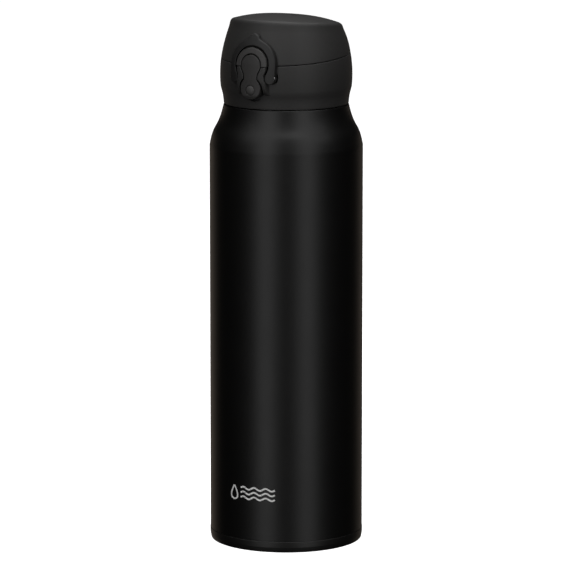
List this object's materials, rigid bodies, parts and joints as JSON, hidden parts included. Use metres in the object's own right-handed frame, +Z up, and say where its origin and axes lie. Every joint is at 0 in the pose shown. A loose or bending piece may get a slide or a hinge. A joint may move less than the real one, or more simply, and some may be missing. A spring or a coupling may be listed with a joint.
{
  "type": "vacuum flask",
  "caption": "Slim double-walled steel vacuum flask with a screw-on stopper, a sprung flip lid, a push button release and a flip-up lock ring.",
  "frame": {"origin": "centre of the base on the surface that the flask stands on", "axes": "+Z up along the flask's axis, -Y towards the latch, +Y towards the lid's hinge"},
  "size_m": [0.0756, 0.0756, 0.2627],
  "materials": {
    "body_paint": "satin black paint on stainless steel",
    "band_paint": "satin charcoal paint on the base band",
    "bare_steel": "electropolished stainless steel",
    "seal_glass": "dark sealing glass",
    "getter_pellet": "dull sintered metal",
    "copper_foil": "thin copper foil",
    "label_film": "blank silver film",
    "silicone": "soft translucent silicone",
    "inner_plastic": "smooth black polypropylene",
    "cap_plastic": "fine matte moulded plastic",
    "button_plastic": "fine matte moulded plastic",
    "pin_steel": "drawn stainless wire and rod"
  },
  "bodies": {
    "bottle": {"outer_shell": "body_paint", "inner_bottle": "bare_steel", "base_cup": "band_paint", "bottom_plate": "bare_steel", "seal_plug": "seal_glass", "getter": "getter_pellet", "reflector_foil": "copper_foil", "base_label": "label_film"},
    "gasket": {"stopper_gasket": "silicone"},
    "stopper": {"stopper_core": "inner_plastic", "stopper_shell": "cap_plastic", "mouthpiece": "inner_plastic", "mouthpiece_gasket": "silicone", "hinge_pin": "pin_steel", "lid_spring": "pin_steel", "latch_pin": "pin_steel", "button_spring": "pin_steel"},
    "lid": {"lid_shell": "cap_plastic", "lid_liner": "inner_plastic", "lid_gasket": "silicone"},
    "button": {"push_button": "button_plastic"},
    "ring": {"lock_ring": "cap_plastic"}
  },
  "joints": [
    {"name": "cap_lift", "type": "slide", "parent": "bottle", "child": "gasket", "axis": [0, 0, 1], "range_m": [0, 0.0201]},
    {"name": "cap_turn", "type": "hinge", "parent": "gasket", "child": "stopper", "pos_m": [0, 0, 0.2264], "axis": [0, 0, 1], "range_deg": [0, 900]},
    {"name": "lid_hinge", "type": "hinge", "parent": "stopper", "child": "lid", "pos_m": [0, 0.0332, 0.2462], "axis": [-1, 0, 0], "range_deg": [0, 135]},
    {"name": "button_press", "type": "hinge", "parent": "stopper", "child": "button", "pos_m": [0, -0.0321, 0.2343], "axis": [1, 0, 0], "range_deg": [0, 6.5], "stiffness_Nm_per_rad": 0.15, "springref_deg": -5.73, "deforming": ["button_spring"]},
    {"name": "ring_flip", "type": "hinge", "parent": "stopper", "child": "ring", "pos_m": [0, -0.0321, 0.2343], "axis": [1, 0, 0], "range_deg": [0, 150]}
  ],
  "couplings": [
    {"joint": "cap_lift", "follows": "cap_turn", "m_per_rad": 0.0012732}
  ]
}
